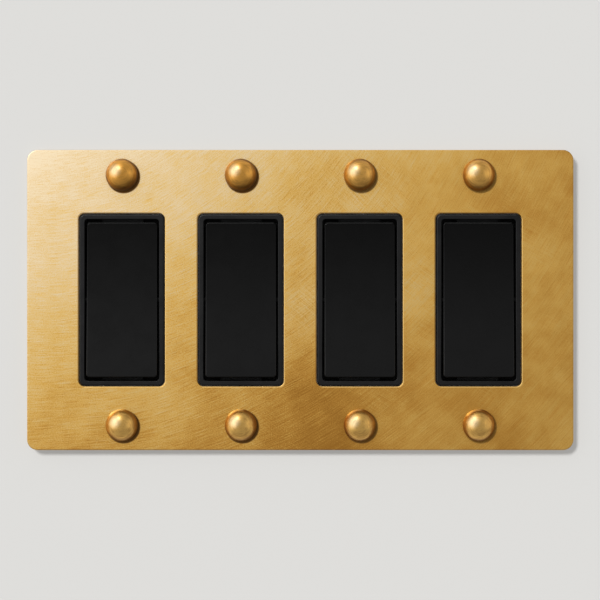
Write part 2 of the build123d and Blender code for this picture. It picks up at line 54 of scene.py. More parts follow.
# Sizes in metres, as in the solids
MM = 0.001
GANG_COUNT = 4
GANG_PITCH = 46.04 * MM
GANG_X = [GANG_PITCH * (gang - (GANG_COUNT - 1) / 2) for gang in range(GANG_COUNT)]
ROW_HALF = GANG_COUNT * GANG_PITCH / 2
PLATE_FRONT = -5.0 * MM
STRAP_FRONT = -1.2 * MM
OPENING_HALF = (16.7 * MM, 33.5 * MM)
OPENING_CORNER = 2.3 * MM
ROCKER_SIDE = 13.65 * MM
ROCKER_TOP = 30.08 * MM
SPRING_Y = 16.4 * MM
SPRING_FREE_Z = (-9.8 * MM, -5.2 * MM)

# Screws
PLATE_SCREW_Z = 48.42 * MM
PLATE_SCREW_TIP = -11.0 * MM
HEAD_R = 6.2 * MM
HEAD_BASE = 1.6 * MM
HEAD_DOME = 4.6 * MM
BOX_SCREW_Z = 41.67 * MM
BOX_SCREW_TIP = -19.05 * MM
BOX_HEAD_R = 3.4 * MM
BOX_HEAD = 1.7 * MM
BOX_NECK_R = 1.4 * MM
BOX_NECK = -1.65 * MM
SIDE_SCREW_TIP = -6.0 * MM
SIDE_HEAD_R = 3.3 * MM
SIDE_HEAD = 1.9 * MM
TERMINAL_FACE = 15.0 * MM
TERMINAL_Y = 18.0 * MM
TERMINAL_Z = -16.0 * MM
TAB_X = -14.0 * MM
TAB_Y = 4.8 * MM
THREAD_R = 1.75 * MM
THREAD_DEPTH = 0.42 * MM
THREAD_PITCH = 0.794 * MM
THREAD_POINT = 0.5 * MM
SLOT_WIDTH = 0.9 * MM
SLOT_DEPTH = 0.8 * MM

# How far each screw is driven round, in radians from one gang to the next
BOX_SCREW_TURN = 0.9
TERMINAL_SCREW_TURN = 0.7
TERMINAL_SCREW_START = 0.5
GROUND_SCREW_TURN = 0.4

# Fineness of the turned pieces
THREAD_SIDES = 24
THREAD_ROWS_PER_TURN = 6
HEAD_SIDES = 64
HEAD_EDGE_STEPS = 8
NECK_SIDES = 32
DOME_SIDES = 96
DOME_STEPS = 48
POLE_R = 0.0002 * MM
SMOOTH_ANGLE = math.radians(35)

# Noise goes from 0 to 1, and most of it lies in this span about its middle
NOISE_MIDDLE = 0.5
NOISE_SPAN = (0.3, 0.7)


def colour(red, green, blue):
    return (red, green, blue, 1.0)


class Graph:
    """A node tree, with short calls to add and join nodes."""

    def __init__(self, tree):
        self.tree = tree
        tree.nodes.clear()

    def add(self, kind, inputs=None, **settings):
        node = self.tree.nodes.new(kind)
        for name, value in settings.items():
            setattr(node, name, value)
        for name, value in (inputs or {}).items():
            self.feed(node.inputs[name], value)
        return node

    def feed(self, socket, value):
        if isinstance(value, bpy.types.NodeSocket):
            self.tree.links.new(value, socket)
        else:
            socket.default_value = value

    def math(self, operation, *values):
        node = self.add("ShaderNodeMath", operation=operation)
        for socket, value in zip(node.inputs, values):
            self.feed(socket, value)
        return node.outputs[0]

    def plus(self, first, second):
        return self.math("ADD", first, second)

    def minus(self, first, second):
        return self.math("SUBTRACT", first, second)

    def times(self, first, second):
        return self.math("MULTIPLY", first, second)

    def vary(self, value, noise, amount):
        """A value raised and lowered by a noise about its middle."""
        return self.plus(value, self.times(self.minus(noise, NOISE_MIDDLE), amount))

    def vector_math(self, operation, *values):
        node = self.add("ShaderNodeVectorMath", operation=operation)
        for socket, value in zip(node.inputs, values):
            self.feed(socket, value)
        return node.outputs["Value" if operation in ("LENGTH", "DOT_PRODUCT") else "Vector"]

    def place(self):
        return self.add("ShaderNodeTexCoord").outputs["Object"]

    def axes(self, vector):
        return self.add("ShaderNodeSeparateXYZ", {"Vector": vector}).outputs

    def noise(self, vector, scale, detail=3.0, roughness=0.55):
        inputs = {"Vector": vector, "Scale": scale, "Detail": detail, "Roughness": roughness}
        return self.add("ShaderNodeTexNoise", inputs).outputs["Fac"]

    def spread(self, value, source, target):
        """A value carried smoothly from one range to another, and held at the ends."""
        inputs = {
            "Value": value,
            "From Min": source[0],
            "From Max": source[1],
            "To Min": target[0],
            "To Max": target[1],
        }
        node = self.add("ShaderNodeMapRange", inputs, interpolation_type="SMOOTHSTEP")
        return node.outputs["Result"]

    def blend(self, factor, first, second):
        node = self.add("ShaderNodeMix", data_type="RGBA")
        self.feed(node.inputs["Factor"], factor)
        self.feed(node.inputs["A"], first)
        self.feed(node.inputs["B"], second)
        return node.outputs["Result"]

    def ramp(self, value, tones):
        """The colour at a value, from (position, colour) pairs in order."""
        node = self.add("ShaderNodeValToRGB", {"Fac": value})
        stops = node.color_ramp.elements
        first, *middle, last = tones
        stops[0].position, stops[0].color = first
        stops[1].position, stops[1].color = last
        for position, tone in middle:
            stops.new(position).color = tone
        return node.outputs["Color"]

    def bump(self, height, strength, depth):
        inputs = {"Height": height, "Strength": strength, "Distance": depth}
        return self.add("ShaderNodeBump", inputs).outputs["Normal"]


class MaterialGraph(Graph):
    """The node tree of a new material."""

    def __init__(self, name):
        self.material = bpy.data.materials.new(name)
        self.material.use_nodes = True
        super().__init__(self.material.node_tree)
        self.output = self.add("ShaderNodeOutputMaterial")

    def surface(self, inputs):
        shader = self.add("ShaderNodeBsdfPrincipled", inputs)
        self.feed(self.output.inputs["Surface"], shader.outputs["BSDF"])
        return self.material


def distance(g, right, up, from_right=0.0, from_up=0.0):
    across = g.math("POWER", g.minus(right, from_right), 2.0)
    along = g.math("POWER", g.minus(up, from_up), 2.0)
    return g.math("SQRT", g.plus(across, along))


def from_screw(g, x, z):
    """Places right of and above the middle of the nearest dome screw."""
    right = g.minus(g.math("WRAP", x, GANG_PITCH, 0.0), GANG_PITCH / 2)
    row = g.times(g.math("SIGN", z), PLATE_SCREW_Z)
    return right, g.minus(z, row)


def from_straight(g, place, half):
    """How far a place is past the straight part of an opening's side, or none."""
    return g.math("MAXIMUM", g.minus(g.math("ABSOLUTE", place), half - OPENING_CORNER), 0.0)


def past_opening(g, x, z, right, shift):
    """How far a place is past its opening's edge, if the opening stood up and left by shift."""
    past_side = from_straight(g, g.plus(right, shift), OPENING_HALF[0])
    past_end = from_straight(g, g.minus(z, shift), OPENING_HALF[1])
    past_edge = g.minus(distance(g, past_side, past_end), OPENING_CORNER)
    past_row = g.minus(g.math("ABSOLUTE", x), ROW_HALF)
    return g.math("MAXIMUM", past_edge, past_row)


# Plate brass: where its strokes turn about, its painted light, its two darker patches, its tones, and the
# painted shadows and highlights at its heads and edges
BRUSH_CENTRE = (-105 * MM, 0.0, 140 * MM)
CROSS_CENTRE = (200 * MM, 0.0, 220 * MM)
STROKE_RADIUS = 180 * MM
STROKE_WANDER = 4 * MM
FINE_SHARE = 0.7
COARSE_SHARE = 0.3
GRAIN_AMOUNT = 0.55
MOTTLE_AMOUNT = 0.4
PATCH_AMOUNT = 0.8
# Painted light: how the brass pales toward the left and toward the top, less so at the right end
ALONG_CURVE = 9.0
ALONG_SLOPE = 2.9
UPWARD_SLOPE = 4.8
UPWARD_LOSS = 35.0
# Middles of the two darker patches, near the bottom and near the top, a little right of the plate's middle
LOWER_DARK_PATCH = (4 * MM, -46 * MM)
UPPER_DARK_PATCH = (4 * MM, 46 * MM)
SHADE_SPAN = 0.6
SHADE_BASE = 0.25
# Brass tones along the shade, from deep to pale; the palest, pale and less yellow, are a painted highlight
PLATE_TONES = [
    (0.0, colour(0.34, 0.155, 0.025)),
    (0.25, colour(0.51, 0.255, 0.047)),
    (0.448, colour(0.67, 0.405, 0.098)),
    (0.622, colour(0.72, 0.495, 0.185)),
    (0.85, colour(0.75, 0.58, 0.345)),
    (1.0, colour(0.80, 0.66, 0.45)),
]
# Painted shadow and painted highlight colours, where each head's painted shadow lies, and how far the
# openings' shaded and lit edges are shifted
PAINTED_PLATE_SHADOW = colour(0.16, 0.075, 0.02)
PAINTED_EDGE_HIGHLIGHT = colour(0.93, 0.60, 0.20)
HEAD_SHADOW_OFFSET = (0.65 * MM, -0.7 * MM)
SHADOW_EDGE_SHIFT = 0.35 * MM
HIGHLIGHT_EDGE_SHIFT = -0.40 * MM


def arc_strokes(g, place, centre, along, across):
    """Noise drawn out along arcs about a centre."""
    from_centre = g.vector_math("SUBTRACT", place, centre)
    x, _, z = g.axes(from_centre)
    turned = g.times(g.math("ARCTAN2", z, x), STROKE_RADIUS)
    wander = g.times(g.noise(place, scale=22.0, detail=2.0), STROKE_WANDER)
    outward = g.plus(g.vector_math("LENGTH", from_centre), wander)
    drawn = g.add("ShaderNodeCombineXYZ", {"X": g.times(turned, along), "Y": g.times(outward, across)})
    return g.noise(drawn.outputs["Vector"], scale=1.0, roughness=0.6)


def brushed_brass():
    """Hand-brushed brass: strokes along arcs about a point up and to the left, over a patina
    with painted light, paler toward the upper left and deeper toward the lower right.

    Other strokes cross them toward the right. A painted shadow lies to the lower right of each
    screw head and along the openings' upper and left edges, and the openings' lower and right
    edges carry a painted highlight.
    """
    g = MaterialGraph("brushed_brass")
    place = g.place()
    x, _, z = g.axes(place)

    # Strokes
    fine = arc_strokes(g, place, BRUSH_CENTRE, along=110.0, across=4600.0)
    coarse = arc_strokes(g, place, BRUSH_CENTRE, along=40.0, across=2000.0)
    crossing = arc_strokes(g, place, CROSS_CENTRE, along=110.0, across=4200.0)
    crossed = g.times(
        g.spread(g.noise(place, scale=26.0, detail=2.0), (0.40, 0.62), (0.0, 0.8)),
        g.spread(x, (-50 * MM, 30 * MM), (0.0, 1.0)),
    )
    cut = g.plus(g.times(fine, FINE_SHARE), g.times(coarse, COARSE_SHARE))
    cut = g.vary(cut, crossing, crossed)
    cut = g.vary(cut, g.noise(place, scale=2200.0, detail=2.0), GRAIN_AMOUNT)
    pressed = g.spread(x, (0.0, 60 * MM), (2.4, 1.3))

    # Patina with painted light: paler toward the upper left and deeper toward the lower right, with two
    # darker patches, mottles and strokes
    along = g.times(x, g.minus(g.times(x, ALONG_CURVE), ALONG_SLOPE))
    upward = g.minus(UPWARD_SLOPE, g.times(x, UPWARD_LOSS))
    upward = g.minus(upward, g.spread(x, (50 * MM, 100 * MM), (0.0, 2.0)))
    shade = g.plus(along, g.times(z, upward))
    from_lower = distance(g, x, z, *LOWER_DARK_PATCH)
    shade = g.plus(shade, g.spread(from_lower, (6 * MM, 34 * MM), (0.04, 0.36)))
    from_upper = distance(g, x, z, *UPPER_DARK_PATCH)
    shade = g.minus(shade, g.spread(from_upper, (4 * MM, 20 * MM), (0.12, 0.0)))
    shade = g.vary(shade, g.noise(place, scale=150.0, roughness=0.6), MOTTLE_AMOUNT)
    shade = g.vary(shade, g.noise(place, scale=34.0, detail=4.0, roughness=0.6), PATCH_AMOUNT)
    shade = g.vary(shade, cut, pressed)
    patina_and_painted_light = g.ramp(g.math("MULTIPLY_ADD", shade, SHADE_SPAN, SHADE_BASE), PLATE_TONES)

    # Painted shadows to the lower right of the screw heads and along the openings' upper and left edges,
    # and painted highlights on the openings' lower and right edges
    right, up = from_screw(g, x, z)
    from_head_shadow = distance(g, right, up, *HEAD_SHADOW_OFFSET)
    tarnish_and_painted_shade = g.spread(from_head_shadow, (HEAD_R + 0.05 * MM, HEAD_R + 0.5 * MM), (1.0, 0.0))
    # The heads' painted shadow is lighter toward the right
    tarnish_and_painted_shade = g.times(tarnish_and_painted_shade, g.spread(x, (-20 * MM, 80 * MM), (1.0, 0.5)))
    # Painted shadow along the openings' upper and left edges
    from_shaded_edge = past_opening(g, x, z, right, SHADOW_EDGE_SHIFT)
    painted_edge_shadow = g.spread(from_shaded_edge, (-0.05 * MM, 0.25 * MM), (0.7, 0.0))
    tarnish_and_painted_shade = g.math("MAXIMUM", tarnish_and_painted_shade, painted_edge_shadow)
    # Painted highlight along the openings' lower and right edges
    from_painted_highlight = past_opening(g, x, z, right, HIGHLIGHT_EDGE_SHIFT)
    wear_and_painted_highlight = g.spread(from_painted_highlight, (-0.12 * MM, 0.05 * MM), (0.85, 0.0))
    tone = g.blend(wear_and_painted_highlight, patina_and_painted_light, PAINTED_EDGE_HIGHLIGHT)
    return g.surface({
        "Base Color": g.blend(tarnish_and_painted_shade, tone, PAINTED_PLATE_SHADOW),
        "Metallic": 1.0,
        "Roughness": g.spread(cut, NOISE_SPAN, (0.50, 0.39)),
        "Normal": g.bump(cut, strength=0.2, depth=0.05 * MM),
    })


# Dome brass: tones of the lower row and of the upper row, whose darker, more orange tones are painted shade
# and reflection, then painted highlights, painted shade and marks
CROWN_TONES = (colour(0.98, 0.59, 0.165), colour(0.97, 0.480, 0.092))
RIM_TONES = (colour(0.34, 0.180, 0.062), colour(0.28, 0.142, 0.046))
DULLED_TONE = colour(0.62, 0.29, 0.055)
# Painted highlight on the crown, painted shade toward the lower right, and a painted highlight arc on the
# lower row's rims
PAINTED_HIGHLIGHT_TONE = colour(0.94, 0.73, 0.42)
PAINTED_DOME_SHADE = colour(0.09, 0.036, 0.008)
PAINTED_ARC_TONE = colour(1.0, 0.86, 0.60)
SHANK_TONE = colour(0.62, 0.42, 0.15)
MARK_SCALE = 1700.0
MARK_STRETCH = 1.4
MARK_SHIFT = (40.0, 0.0, 40.0)
PATCH_MOTTLE = 0.5
MARK_MOTTLE = 1.1
# Middle of the crown's painted highlight, which way the painted shade leans, and which way the painted arc
# faces
PAINTED_HIGHLIGHT_CENTRE = (-0.40 * HEAD_R, 0.25 * HEAD_R)
SHADE_WAY = (0.5 / HEAD_R, -0.85 / HEAD_R)
ARC_WAY = (-0.37, 0.93)


def dome_brass():
    """Polished brass, with a painted highlight on the crown and painted shade round the rim and toward the
    lower right.
    """
    g = MaterialGraph("dome_brass")
    place = g.place()
    x, y, z = g.axes(place)
    right, up = from_screw(g, x, z)
    around = distance(g, right, up)
    upper_row = g.spread(z, (-10 * MM, 10 * MM), (0.0, 1.0))
    # Painted shade and reflection of the dark rockers below: the upper row darker and more orange, less so
    # toward the right
    painted_upper_shade = g.times(upper_row, g.spread(x, (-30 * MM, 50 * MM), (1.0, 0.35)))

    # Polish marks round the dome's axis
    patches = g.noise(place, scale=260.0, detail=4.0, roughness=0.6)
    turned = g.add("ShaderNodeCombineXYZ", {
        "X": g.times(around, MARK_SCALE),
        "Y": g.times(g.math("DIVIDE", right, around), MARK_STRETCH),
        "Z": g.times(g.math("DIVIDE", up, around), MARK_STRETCH),
    })
    own_marks = g.vector_math("ADD", turned.outputs["Vector"], g.vector_math("MULTIPLY", place, MARK_SHIFT))
    marks = g.noise(own_marks, scale=1.0, detail=2.0, roughness=0.5)

    # Crown and rim: the crown's tones with polish marks and a painted highlight, and painted shade round
    # the rim
    crown = g.blend(painted_upper_shade, *CROWN_TONES)
    dulled = g.times(
        g.spread(marks, (0.35, 0.65), (0.35, 0.0)),
        g.spread(around, (0.15 * HEAD_R, 0.7 * HEAD_R), (0.1, 1.0)),
    )
    crown = g.blend(dulled, crown, DULLED_TONE)
    # Painted highlight on the crown, up and to the left of its middle
    from_painted_highlight = distance(g, right, up, *PAINTED_HIGHLIGHT_CENTRE)
    wear_and_painted_highlight = g.spread(from_painted_highlight, (0.12 * HEAD_R, 0.54 * HEAD_R), (0.85, 0.0))
    crown = g.blend(wear_and_painted_highlight, crown, PAINTED_HIGHLIGHT_TONE)
    # Painted shade: the rim darker than the crown, mottled by patches and marks
    painted_light_and_mottle = g.spread(y, (-6.6 * MM, -10.2 * MM), (0.0, 1.0))
    painted_light_and_mottle = g.vary(painted_light_and_mottle, patches, PATCH_MOTTLE)
    painted_light_and_mottle = g.vary(painted_light_and_mottle, marks, MARK_MOTTLE)
    tone = g.blend(painted_light_and_mottle, g.blend(painted_upper_shade, *RIM_TONES), crown)

    # Painted shade at the lower right, stronger on the upper row, a painted highlight arc on the lower
    # row's rims, and the plain shank
    lean = g.plus(g.times(right, SHADE_WAY[0]), g.times(up, SHADE_WAY[1]))
    tarnish_and_painted_shade = g.spread(lean, (0.15, 0.95), (0.0, 0.70))
    tarnish_and_painted_shade = g.times(tarnish_and_painted_shade, g.spread(painted_upper_shade, (0.0, 1.0), (0.3, 1.0)))
    tone = g.blend(tarnish_and_painted_shade, tone, PAINTED_DOME_SHADE)
    # Painted highlight arc at the upper left of the lower row's rims
    toward_arc = g.plus(g.times(right, ARC_WAY[0]), g.times(up, ARC_WAY[1]))
    arc = g.spread(g.math("DIVIDE", toward_arc, around), (0.80, 0.95), (0.0, 0.9))
    arc = g.times(arc, g.spread(around, (0.89 * HEAD_R, 0.93 * HEAD_R), (0.0, 1.0)))
    arc = g.times(arc, g.minus(1.0, upper_row))
    tone = g.blend(arc, tone, PAINTED_ARC_TONE)
    shank = g.spread(y, (PLATE_FRONT, PLATE_FRONT + 0.2 * MM), (0.0, 1.0))
    return g.surface({
        "Base Color": g.blend(shank, tone, SHANK_TONE),
        "Metallic": 1.0,
        "Roughness": g.spread(patches, (0.25, 0.75), (0.40, 0.32)),
        "Normal": g.bump(marks, strength=0.1, depth=0.04 * MM),
    })


def plain_brass(name, low, high):
    """Bright stamped or turned brass with faint tarnish."""
    g = MaterialGraph(name)
    place = g.place()
    tarnish_and_painted_shade = g.noise(place, scale=420.0, detail=4.0, roughness=0.6)
    return g.surface({
        "Base Color": g.blend(g.spread(tarnish_and_painted_shade, NOISE_SPAN, (0.0, 1.0)), low, high),
        "Metallic": 1.0,
        "Roughness": g.spread(tarnish_and_painted_shade, NOISE_SPAN, (0.40, 0.26)),
        "Normal": g.bump(g.noise(place, scale=3000.0, detail=2.0), strength=0.08, depth=0.04 * MM),
    })


def moulded(name, low, high, roughness, grain_scale, grain_depth, specular=0.5):
    """Moulded plastic: a fine even grain and slight changes of tone."""
    roughness_change = 0.04
    g = MaterialGraph(name)
    place = g.place()
    clouds = g.noise(place, scale=90.0, detail=4.0)
    grain = g.noise(place, scale=grain_scale, roughness=0.6)
    rub = g.noise(place, scale=160.0, detail=4.0, roughness=0.65)
    rough_span = (roughness + roughness_change, roughness - roughness_change)
    return g.surface({
        "Base Color": g.blend(g.spread(clouds, NOISE_SPAN, (0.0, 1.0)), low, high),
        "Roughness": g.spread(rub, NOISE_SPAN, rough_span),
        "Specular IOR Level": specular,
        "Normal": g.bump(grain, strength=0.35, depth=grain_depth),
    })


# Paddle plastic
# Dark and paler paddle tones for the painted light toward the lower half, and the painted edge highlight
PADDLE_TONES = (colour(0.0008, 0.0008, 0.0008), colour(0.0062, 0.0062, 0.0063))
PADDLE_EDGE_HIGHLIGHT = colour(0.024, 0.024, 0.024)
PADDLE_CLOUDS = 0.2
PADDLE_SPECULAR = 0.10


def paddle_plastic():
    """Satin black, with painted light making it paler toward the lower half, and a painted highlight along
    its edges.
    """
    g = MaterialGraph("rocker_plastic")
    place = g.place()
    x, _, z = g.axes(place)
    clouds = g.noise(place, scale=120.0, detail=4.0, roughness=0.6)
    # Painted light: paler toward the lower half, with clouds
    painted_light_and_mottle = g.plus(g.spread(z, (40 * MM, -22 * MM), (0.0, 0.85)), g.times(clouds, PADDLE_CLOUDS))
    right, _ = from_screw(g, x, z)
    width = g.math("ABSOLUTE", right)
    paddle = g.spread(width, (ROCKER_SIDE, ROCKER_SIDE + 0.05 * MM), (1.0, 0.1))
    side = g.spread(width, (ROCKER_SIDE - 0.45 * MM, ROCKER_SIDE - 0.2 * MM), (0.0, 0.4))
    top = g.spread(z, (ROCKER_TOP - 0.5 * MM, ROCKER_TOP - 0.25 * MM), (0.0, 1.0))
    # Painted highlight along the paddle's sides and top edge
    painted_edge_highlights = g.math("MAXIMUM", g.times(side, paddle), top)
    return g.surface({
        "Base Color": g.blend(painted_edge_highlights, g.blend(painted_light_and_mottle, *PADDLE_TONES), PADDLE_EDGE_HIGHLIGHT),
        "Roughness": g.spread(clouds, NOISE_SPAN, (0.31, 0.26)),
        "Specular IOR Level": g.times(paddle, PADDLE_SPECULAR),
        "Normal": g.bump(g.noise(place, scale=4200.0, roughness=0.6), strength=0.3, depth=0.01 * MM),
    })


def plated_steel(name, low, high, roughness, stretch):
    """Plated or drawn steel: cloudy tone and faint lines from rolling."""
    roughness_change = 0.06
    g = MaterialGraph(name)
    place = g.place()
    clouds = g.noise(place, scale=240.0, detail=5.0, roughness=0.6)
    lines = g.noise(g.vector_math("MULTIPLY", place, stretch), scale=1.0, roughness=0.6)
    rough_span = (roughness + roughness_change, roughness - roughness_change)
    return g.surface({
        "Base Color": g.blend(g.spread(clouds, NOISE_SPAN, (0.0, 1.0)), low, high),
        "Metallic": 1.0,
        "Roughness": g.spread(clouds, NOISE_SPAN, rough_span),
        "Normal": g.bump(lines, strength=0.12, depth=0.05 * MM),
    })


def green_screw():
    """Green dye over plated steel, worn thin in places."""
    g = MaterialGraph("green_screw")
    place = g.place()
    wear = g.noise(place, scale=700.0, detail=4.0, roughness=0.65)
    wear_and_painted_highlight = g.spread(wear, (0.35, 0.75), (0.0, 1.0))
    return g.surface({
        "Base Color": g.blend(wear_and_painted_highlight, colour(0.025, 0.19, 0.055), colour(0.10, 0.36, 0.15)),
        "Metallic": 0.85,
        "Roughness": g.spread(wear, NOISE_SPAN, (0.42, 0.30)),
        "Normal": g.bump(g.noise(place, scale=2500.0, detail=2.0), strength=0.1, depth=0.04 * MM),
    })


def fibre_board():
    """Pressed board of short fibres."""
    fibre_scales = (2600.0, 400.0, 700.0)
    g = MaterialGraph("fibre")
    drawn = g.vector_math("MULTIPLY", g.place(), fibre_scales)
    fibres = g.noise(drawn, scale=1.0, detail=4.0, roughness=0.65)
    pale = g.spread(fibres, NOISE_SPAN, (0.0, 1.0))
    return g.surface({
        "Base Color": g.blend(pale, colour(0.10, 0.06, 0.035), colour(0.22, 0.145, 0.09)),
        "Roughness": 0.75,
        "Normal": g.bump(fibres, strength=0.3, depth=0.06 * MM),
    })


# One material for each slot, with the scales of the lines in rolled and drawn metal
ROLLED = (500.0, 500.0, 4000.0)
DRAWN = (2500.0, 2500.0, 400.0)
materials = {
    "brushed_brass": brushed_brass(),
    "dome_brass": dome_brass(),
    "rocker_plastic": paddle_plastic(),
    "bezel_plastic": moulded(
        "bezel_plastic",
        colour(0.0030, 0.0030, 0.0032),
        colour(0.0060, 0.0060, 0.0062),
        roughness=0.38,
        grain_scale=1800.0,
        grain_depth=0.05 * MM,
        specular=0.22,
    ),
    "housing_plastic": moulded(
        "housing_plastic",
        colour(0.010, 0.010, 0.0105),
        colour(0.018, 0.018, 0.019),
        roughness=0.5,
        grain_scale=2600.0,
        grain_depth=0.05 * MM,
    ),
    "nylon": moulded(
        "nylon",
        colour(0.70, 0.66, 0.55),
        colour(0.78, 0.75, 0.65),
        roughness=0.5,
        grain_scale=2200.0,
        grain_depth=0.03 * MM,
    ),
    "green_screw": green_screw(),
    "fibre": fibre_board(),
}
for name, low, high, roughness, stretch in (
    ("zinc_steel", colour(0.50, 0.51, 0.52), colour(0.66, 0.665, 0.67), 0.38, ROLLED),
    ("zinc_screw", colour(0.55, 0.55, 0.55), colour(0.69, 0.69, 0.69), 0.34, ROLLED),
    ("steel", colour(0.50, 0.50, 0.51), colour(0.60, 0.60, 0.61), 0.32, ROLLED),
    ("spring_steel", colour(0.40, 0.40, 0.41), colour(0.50, 0.50, 0.51), 0.30, DRAWN),
    ("silver", colour(0.72, 0.71, 0.68), colour(0.84, 0.83, 0.80), 0.28, DRAWN),
):
    materials[name] = plated_steel(name, low, high, roughness, stretch)
for name, low, high in (
    ("terminal_brass", colour(0.58, 0.385, 0.135), colour(0.70, 0.49, 0.19)),
    ("screw_brass", colour(0.60, 0.40, 0.145), colour(0.72, 0.505, 0.20)),
):
    materials[name] = plain_brass(name, low, high)

for name, node in nodes.items():
    node.data.materials.clear()
    node.data.materials.append(materials[slot_of[name]])


def ring_faces(rings, sides):
    """Faces between rings of points, and one across each end."""
    faces = []
    for ring in range(rings - 1):
        for side in range(sides):
            after = (side + 1) % sides
            low = ring * sides
            high = low + sides
            faces.append((low + side, low + after, high + after, high + side))
    faces.append(tuple(range(sides))[::-1])
    faces.append(tuple((rings - 1) * sides + side for side in range(sides)))
    return faces


def lathe(profile, sides):
    """Points and faces of (radius, height) pairs turned about the Z axis, closed at both ends."""
    turns = np.arange(sides) * 2 * math.pi / sides
    rings = np.array(profile)
    points = np.zeros((len(rings), sides, 3))
    points[:, :, 0] = rings[:, :1] * np.cos(turns)
    points[:, :, 1] = rings[:, :1] * np.sin(turns)
    points[:, :, 2] = rings[:, 1:]
    return points.reshape(-1, 3), ring_faces(len(rings), sides)


def thread(top, bottom):
    """A helical thread down the Z axis from top to bottom, with a short point."""
    rows = int((top - bottom) / THREAD_PITCH * THREAD_ROWS_PER_TURN)
    heights = np.linspace(top, bottom, rows)
    turns = np.arange(THREAD_SIDES) * 2 * math.pi / THREAD_SIDES
    phase = (heights[:, None] / THREAD_PITCH - turns[None, :] / (2 * math.pi)) % 1.0
    radii = THREAD_R - THREAD_DEPTH * np.abs(2 * phase - 1)
    room = np.clip((heights - bottom) / THREAD_POINT, 0.0, 1.0)[:, None]
    radii = np.minimum(radii, THREAD_R - THREAD_POINT + THREAD_POINT * room)
    points = np.zeros((rows, THREAD_SIDES, 3))
    points[:, :, 0] = radii * np.cos(turns)
    points[:, :, 1] = radii * np.sin(turns)
    points[:, :, 2] = heights[:, None]
    faces = [face[::-1] for face in ring_faces(rows, THREAD_SIDES)]
    return points.reshape(-1, 3), faces


def rounded_head(radius, height):
    """A flat screw head standing on z = 0, its upper edge rounded to half its height."""
    edge = height / 2
    profile = [(radius, 0.0)]
    for step in range(HEAD_EDGE_STEPS + 1):
        angle = math.pi / 2 * step / HEAD_EDGE_STEPS
        profile.append((radius - edge + edge * math.cos(angle), height - edge + edge * math.sin(angle)))
    profile.append((POLE_R, height))
    return lathe(profile, HEAD_SIDES)


def dome_head():
    """A domed screw head standing on z = 0."""
    sphere = (HEAD_R**2 + HEAD_DOME**2) / (2 * HEAD_DOME)
    turn = math.asin(HEAD_R / sphere)
    top = HEAD_BASE + HEAD_DOME
    profile = [(HEAD_R, 0.0), (HEAD_R, HEAD_BASE)]
    for step in range(1, DOME_STEPS):
        angle = turn * (1 - step / DOME_STEPS)
        profile.append((sphere * math.sin(angle), top - sphere * (1 - math.cos(angle))))
    profile.append((POLE_R, top))
    return lathe(profile, DOME_SIDES)


def mesh_from(name, points, faces):
    mesh = bpy.data.meshes.new(name)
    mesh.from_pydata([tuple(point) for point in points], [], faces)
    mesh.validate()
    return mesh


def slotted_head(radius, height):
    """A rounded head with a driver slot cut across it, as points and faces."""
    head = bpy.data.objects.new("head", mesh_from("head", *rounded_head(radius, height)))
    half = SLOT_WIDTH / 2
    low = height - SLOT_DEPTH
    corners = [
        (x, y, z)
        for x in (-2 * radius, 2 * radius)
        for y in (-half, half)
        for z in (low, 2 * height)
    ]
    box_faces = [(0, 1, 3, 2), (4, 6, 7, 5), (0, 4, 5, 1), (2, 3, 7, 6), (0, 2, 6, 4), (1, 5, 7, 3)]
    cutter = bpy.data.objects.new("cutter", mesh_from("cutter", corners, box_faces))
    for part in (head, cutter):
        scene.collection.objects.link(part)
    cut = head.modifiers.new("slot", "BOOLEAN")
    cut.object = cutter
    cut.operation = "DIFFERENCE"
    cut.solver = "EXACT"
    bpy.context.view_layer.update()
    done = head.evaluated_get(bpy.context.evaluated_depsgraph_get()).to_mesh()
    cut_points = np.array([vertex.co for vertex in done.vertices])
    cut_faces = [tuple(face.vertices) for face in done.polygons]
    for part in (head, cutter):
        bpy.data.objects.remove(part)
    return cut_points, cut_faces


def joined(parts):
    """Several (points, faces) as one."""
    all_points = []
    all_faces = []
    for points, faces in parts:
        first = sum(len(group) for group in all_points)
        all_points.append(points)
        all_faces += [tuple(first + corner for corner in face) for face in faces]
    return np.concatenate(all_points), all_faces


def seat(place, up, turn=0.0):
    """The frame of a screw whose head stands on place and points along up, driven round by turn."""
    way = Vector(up).to_track_quat("Z", "Y").to_matrix().to_4x4()
    return Matrix.Translation(Vector(place)) @ way @ Matrix.Rotation(turn, 4, "Z")


def screw_set(name, shape, seats):
    """One piece with a copy of the screw at each seat, in place of the solid of that name."""
    points, faces = shape
    copies = []
    for spot in seats:
        turned = np.array(spot)
        copies.append((points @ turned[:3, :3].T + turned[:3, 3], faces))
    mesh = mesh_from(name + "_mesh", *joined(copies))
    mesh.shade_smooth()
    mesh.set_sharp_from_angle(angle=SMOOTH_ANGLE)
    piece = bpy.data.objects.new(name + "_threaded", mesh)
    scene.collection.objects.link(piece)
    slot = slot_of[name]
    mesh.materials.append(materials[slot])
    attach(piece, "switch_body")
    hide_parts(name)
    return piece


# Dome screws on the plate
domes = screw_set(
    "plate_screws",
    joined([dome_head(), thread(0.0, PLATE_SCREW_TIP)]),
    [seat((x, PLATE_FRONT, z), (0, -1, 0)) for x in GANG_X for z in (-PLATE_SCREW_Z, PLATE_SCREW_Z)],
)

# Box screws behind the plate
box_neck = lathe([(BOX_NECK_R, BOX_NECK), (BOX_NECK_R, 0.0)], NECK_SIDES)
screw_set(
    "mounting_screws",
    joined([slotted_head(BOX_HEAD_R, BOX_HEAD), box_neck, thread(BOX_NECK, BOX_SCREW_TIP)]),
    [
        seat((x, STRAP_FRONT, z), (0, -1, 0), BOX_SCREW_TURN * number)
        for number, x in enumerate(GANG_X)
        for z in (-BOX_SCREW_Z, BOX_SCREW_Z)
    ],
)

